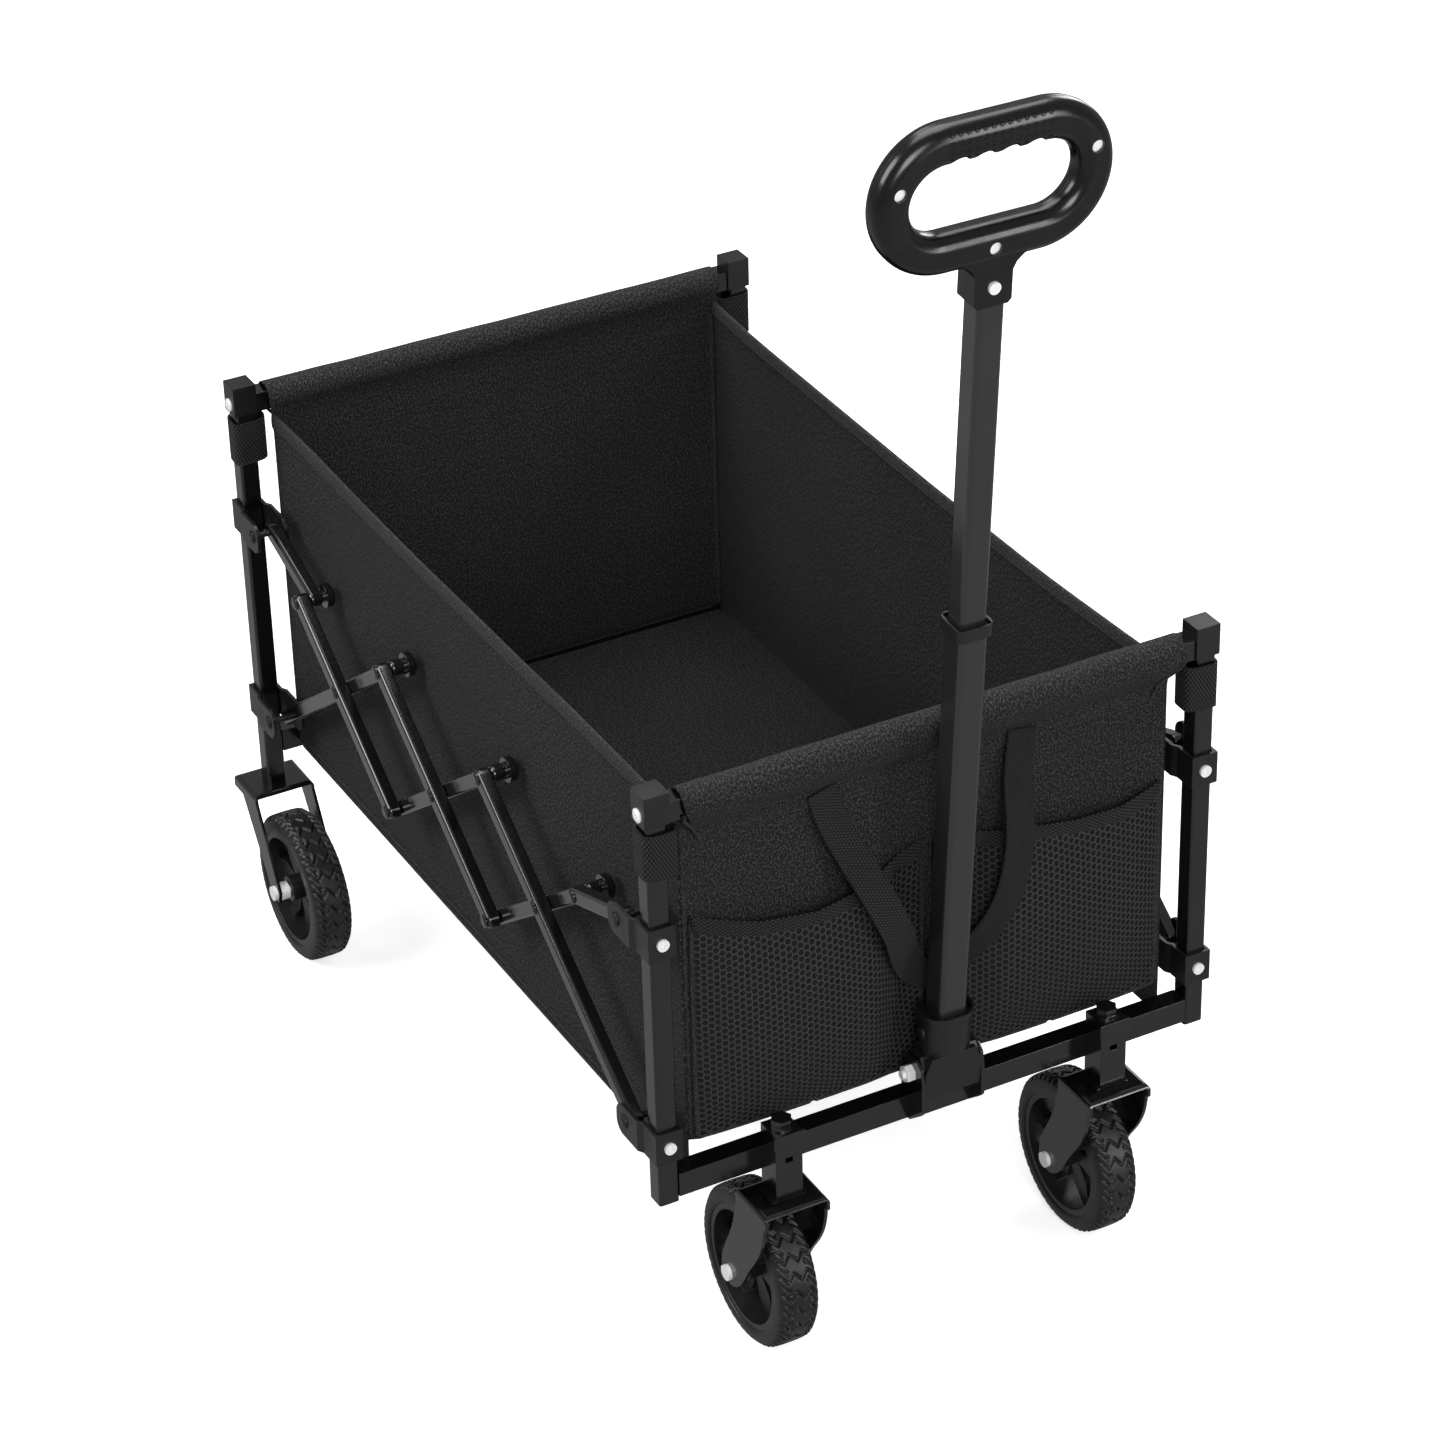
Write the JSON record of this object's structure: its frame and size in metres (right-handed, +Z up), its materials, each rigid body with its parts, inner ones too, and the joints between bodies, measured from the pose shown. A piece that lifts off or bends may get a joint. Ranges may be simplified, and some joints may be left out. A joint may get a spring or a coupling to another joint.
{
  "type": "folding wagon with pull handle",
  "caption": "Collapsible fabric utility wagon on scissor frame, swivel front casters, fixed rear wheels and a telescoping pull handle.",
  "frame": {"origin": "on the ground, at the middle of the overall length and width", "axes": "+Z up, +Y to the rear of the wagon, +X to the right seen from the handle end"},
  "size_m": [0.5685, 0.9098, 1.1065],
  "materials": {
    "frame_steel": "black powder coat, satin",
    "lattice_steel": "black gloss paint",
    "handle_steel": "dark grey-black satin paint",
    "moulding": "black moulded nylon, fine texture",
    "grip_plastic": "black moulded grip, satin gloss",
    "zinc": "bright zinc",
    "rim_plastic": "black moulded rim",
    "tyre_rubber": "moulded tread",
    "tub_fabric": "black coated oxford weave",
    "pocket_mesh": "black hexagonal mesh"
  },
  "bodies": {
    "front_frame": {"post_front_left": "frame_steel", "post_front_right": "frame_steel", "top_tube_front": "frame_steel", "lower_tube_front": "frame_steel", "post_caps_front": "moulding", "lattice_brackets_front": "moulding", "frame_screws_front": "zinc", "handle_clevis": "frame_steel", "handle_pivot_bolt": "zinc", "caster_stems": "frame_steel", "tub_front_panel": "tub_fabric", "tub_front_pockets": "pocket_mesh", "tub_left_panel": "tub_fabric", "tub_right_panel": "tub_fabric", "tub_floor": "tub_fabric"},
    "rear_frame": {"post_rear_left": "frame_steel", "post_rear_right": "frame_steel", "top_tube_rear": "frame_steel", "lower_tube_rear": "frame_steel", "post_caps_rear": "moulding", "lattice_brackets_rear": "moulding", "frame_screws_rear": "zinc", "rear_forks": "frame_steel", "rear_axles": "zinc", "tub_rear_panel": "tub_fabric"},
    "bar_outer_front_left": {"bar_outer_front_left": "lattice_steel"},
    "bar_inner_front_left": {"bar_inner_front_left": "lattice_steel"},
    "bar_outer_middle_left": {"bar_outer_middle_left": "lattice_steel"},
    "bar_inner_middle_left": {"bar_inner_middle_left": "lattice_steel"},
    "bar_outer_rear_left": {"bar_outer_rear_left": "lattice_steel"},
    "bar_inner_rear_left": {"bar_inner_rear_left": "lattice_steel"},
    "half_bar_front_left": {"half_bar_front_left": "lattice_steel"},
    "half_bar_rear_left": {"half_bar_rear_left": "lattice_steel"},
    "bar_outer_front_right": {"bar_outer_front_right": "lattice_steel"},
    "bar_inner_front_right": {"bar_inner_front_right": "lattice_steel"},
    "bar_outer_middle_right": {"bar_outer_middle_right": "lattice_steel"},
    "bar_inner_middle_right": {"bar_inner_middle_right": "lattice_steel"},
    "bar_outer_rear_right": {"bar_outer_rear_right": "lattice_steel"},
    "bar_inner_rear_right": {"bar_inner_rear_right": "lattice_steel"},
    "half_bar_front_right": {"half_bar_front_right": "lattice_steel"},
    "half_bar_rear_right": {"half_bar_rear_right": "lattice_steel"},
    "front_fork_left": {"front_fork_left": "frame_steel", "front_axle_left": "zinc"},
    "front_fork_right": {"front_fork_right": "frame_steel", "front_axle_right": "zinc"},
    "wheel_front_left": {"wheel_rim_front_left": "rim_plastic", "wheel_tyre_front_left": "tyre_rubber"},
    "wheel_front_right": {"wheel_rim_front_right": "rim_plastic", "wheel_tyre_front_right": "tyre_rubber"},
    "wheel_rear_left": {"wheel_rim_rear_left": "rim_plastic", "wheel_tyre_rear_left": "tyre_rubber"},
    "wheel_rear_right": {"wheel_rim_rear_right": "rim_plastic", "wheel_tyre_rear_right": "tyre_rubber"},
    "handle": {"handle_socket": "moulding", "handle_lower_tube": "handle_steel", "handle_collar": "moulding"},
    "handle_upper": {"handle_upper_tube": "handle_steel", "grip_shell_front": "grip_plastic", "grip_shell_back": "grip_plastic", "grip_screws": "zinc"}
  },
  "joints": [
    {"name": "fold", "type": "hinge", "parent": "front_frame", "child": "bar_outer_front_left", "pos_m": [-0.25, -0.321, 0.2435], "axis": [1, 0, 0], "range_deg": [0, 44], "deforming": ["tub_left_panel", "tub_right_panel", "tub_floor"]},
    {"name": "lattice_left_2", "type": "hinge", "parent": "bar_outer_front_left", "child": "bar_inner_front_left", "pos_m": [-0.25, -0.16229, 0.35679], "axis": [1, 0, 0], "range_deg": [-88, 0]},
    {"name": "lattice_left_3", "type": "hinge", "parent": "bar_inner_front_left", "child": "bar_outer_middle_left", "pos_m": [-0.25, -0.0634, 0.2862], "axis": [1, 0, 0], "range_deg": [0, 88]},
    {"name": "lattice_left_4", "type": "hinge", "parent": "bar_outer_middle_left", "child": "bar_inner_middle_left", "pos_m": [-0.25, 0.03549, 0.35679], "axis": [1, 0, 0], "range_deg": [-88, 0]},
    {"name": "lattice_left_5", "type": "hinge", "parent": "bar_inner_middle_left", "child": "bar_outer_rear_left", "pos_m": [-0.25, 0.13438, 0.2862], "axis": [1, 0, 0], "range_deg": [0, 88]},
    {"name": "lattice_left_6", "type": "hinge", "parent": "bar_outer_rear_left", "child": "bar_inner_rear_left", "pos_m": [-0.25, 0.23329, 0.35679], "axis": [1, 0, 0], "range_deg": [-88, 0]},
    {"name": "rear_frame_level", "type": "hinge", "parent": "bar_inner_rear_left", "child": "rear_frame", "pos_m": [-0.25, 0.392, 0.2435], "axis": [1, 0, 0], "range_deg": [0, 44]},
    {"name": "lattice_right_1", "type": "hinge", "parent": "front_frame", "child": "bar_outer_front_right", "pos_m": [0.25, -0.321, 0.2435], "axis": [1, 0, 0], "range_deg": [0, 44]},
    {"name": "lattice_right_2", "type": "hinge", "parent": "bar_outer_front_right", "child": "bar_inner_front_right", "pos_m": [0.25, -0.16229, 0.35679], "axis": [1, 0, 0], "range_deg": [-88, 0]},
    {"name": "lattice_right_3", "type": "hinge", "parent": "bar_inner_front_right", "child": "bar_outer_middle_right", "pos_m": [0.25, -0.0634, 0.2862], "axis": [1, 0, 0], "range_deg": [0, 88]},
    {"name": "lattice_right_4", "type": "hinge", "parent": "bar_outer_middle_right", "child": "bar_inner_middle_right", "pos_m": [0.25, 0.03549, 0.35679], "axis": [1, 0, 0], "range_deg": [-88, 0]},
    {"name": "lattice_right_5", "type": "hinge", "parent": "bar_inner_middle_right", "child": "bar_outer_rear_right", "pos_m": [0.25, 0.13438, 0.2862], "axis": [1, 0, 0], "range_deg": [0, 88]},
    {"name": "lattice_right_6", "type": "hinge", "parent": "bar_outer_rear_right", "child": "bar_inner_rear_right", "pos_m": [0.25, 0.23329, 0.35679], "axis": [1, 0, 0], "range_deg": [-88, 0]},
    {"name": "half_bar_front_left_turn", "type": "hinge", "parent": "front_frame", "child": "half_bar_front_left", "pos_m": [-0.25, -0.321, 0.4385], "axis": [1, 0, 0], "range_deg": [0, 96.52]},
    {"name": "half_bar_rear_left_turn", "type": "hinge", "parent": "rear_frame", "child": "half_bar_rear_left", "pos_m": [-0.25, 0.392, 0.4385], "axis": [1, 0, 0], "range_deg": [-96.52, 0]},
    {"name": "half_bar_front_right_turn", "type": "hinge", "parent": "front_frame", "child": "half_bar_front_right", "pos_m": [0.25, -0.321, 0.4385], "axis": [1, 0, 0], "range_deg": [0, 96.52]},
    {"name": "half_bar_rear_right_turn", "type": "hinge", "parent": "rear_frame", "child": "half_bar_rear_right", "pos_m": [0.25, 0.392, 0.4385], "axis": [1, 0, 0], "range_deg": [-96.52, 0]},
    {"name": "caster_left_swivel", "type": "hinge", "parent": "front_frame", "child": "front_fork_left", "pos_m": [-0.154, -0.38025, 0.1], "axis": [0, 0, 1], "continuous": true},
    {"name": "wheel_front_left_spin", "type": "hinge", "parent": "front_fork_left", "child": "wheel_front_left", "pos_m": [-0.154, -0.33925, 0.0715], "axis": [1, 0, 0], "continuous": true},
    {"name": "wheel_rear_left_spin", "type": "hinge", "parent": "rear_frame", "child": "wheel_rear_left", "pos_m": [-0.25, 0.373, 0.0715], "axis": [1, 0, 0], "continuous": true},
    {"name": "caster_right_swivel", "type": "hinge", "parent": "front_frame", "child": "front_fork_right", "pos_m": [0.154, -0.38025, 0.1], "axis": [0, 0, 1], "continuous": true},
    {"name": "wheel_front_right_spin", "type": "hinge", "parent": "front_fork_right", "child": "wheel_front_right", "pos_m": [0.154, -0.33925, 0.0715], "axis": [1, 0, 0], "continuous": true},
    {"name": "wheel_rear_right_spin", "type": "hinge", "parent": "rear_frame", "child": "wheel_rear_right", "pos_m": [0.25, 0.373, 0.0715], "axis": [1, 0, 0], "continuous": true},
    {"name": "handle_tilt", "type": "hinge", "parent": "front_frame", "child": "handle", "pos_m": [0, -0.3745, 0.24], "axis": [1, 0, 0], "range_deg": [-2, 86]},
    {"name": "handle_slide", "type": "slide", "parent": "handle", "child": "handle_upper", "axis": [0, -0.0785, 0.9969], "range_m": [-0.25, 0]}
  ],
  "couplings": [
    {"joint": "lattice_left_2", "follows": "fold", "ratio": -2},
    {"joint": "lattice_left_3", "follows": "fold", "ratio": 2},
    {"joint": "lattice_left_4", "follows": "fold", "ratio": -2},
    {"joint": "lattice_left_5", "follows": "fold", "ratio": 2},
    {"joint": "lattice_left_6", "follows": "fold", "ratio": -2},
    {"joint": "rear_frame_level", "follows": "fold", "ratio": 1},
    {"joint": "lattice_right_1", "follows": "fold", "ratio": 1},
    {"joint": "lattice_right_2", "follows": "fold", "ratio": -2},
    {"joint": "lattice_right_3", "follows": "fold", "ratio": 2},
    {"joint": "lattice_right_4", "follows": "fold", "ratio": -2},
    {"joint": "lattice_right_5", "follows": "fold", "ratio": 2},
    {"joint": "lattice_right_6", "follows": "fold", "ratio": -2},
    {"joint": "half_bar_front_left_turn", "follows": "fold", "ratio": 2.1932},
    {"joint": "half_bar_rear_left_turn", "follows": "fold", "ratio": -2.1932},
    {"joint": "half_bar_front_right_turn", "follows": "fold", "ratio": 2.1932},
    {"joint": "half_bar_rear_right_turn", "follows": "fold", "ratio": -2.1932}
  ]
}
